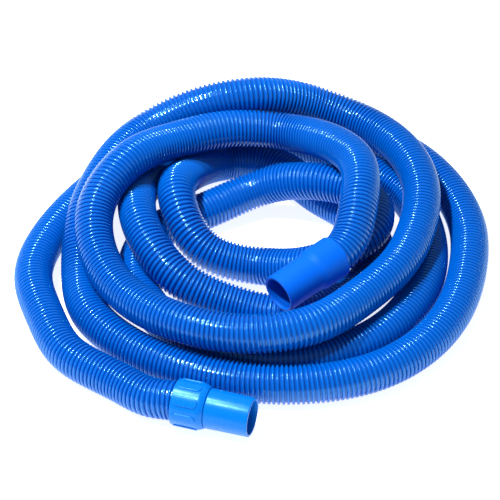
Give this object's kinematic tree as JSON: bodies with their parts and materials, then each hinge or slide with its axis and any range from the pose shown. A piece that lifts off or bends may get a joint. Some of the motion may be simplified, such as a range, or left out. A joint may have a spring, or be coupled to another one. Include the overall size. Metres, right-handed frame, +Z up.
{
  "type": "pool vacuum hose",
  "caption": "Blue corrugated pool vacuum hose lying in a loose coil, with a turning grip cuff at one end and a plain fixed cuff at the other",
  "frame": {"origin": "on the floor, under the middle of the coil's box", "axes": "+Z up; +X the way the swivel cuff's mouth faces; +Y from the swivel cuff across the coil"},
  "size_m": [0.541, 0.6141, 0.1423],
  "materials": {
    "hose_blue": "satin",
    "swivel_blue": "satin gloss",
    "fixed_blue": "matt",
    "seal_black": "matt"
  },
  "bodies": {
    "hose": {"hose_turn_1": "hose_blue", "hose_turn_2": "hose_blue", "hose_turn_3": "hose_blue", "hose_turn_4": "hose_blue", "hose_turn_5": "hose_blue", "hose_turn_6": "hose_blue", "hose_end_swivel": "hose_blue", "hose_end_fixed": "hose_blue", "swivel_collar": "swivel_blue", "swivel_washer": "seal_black", "fixed_cuff": "fixed_blue"},
    "spout": {"swivel_spout": "swivel_blue"}
  },
  "joints": [
    {"name": "spout_swivel", "type": "hinge", "parent": "hose", "child": "spout", "pos_m": [0.06, -0.28, 0.0273], "axis": [1, 0, 0], "continuous": true}
  ]
}
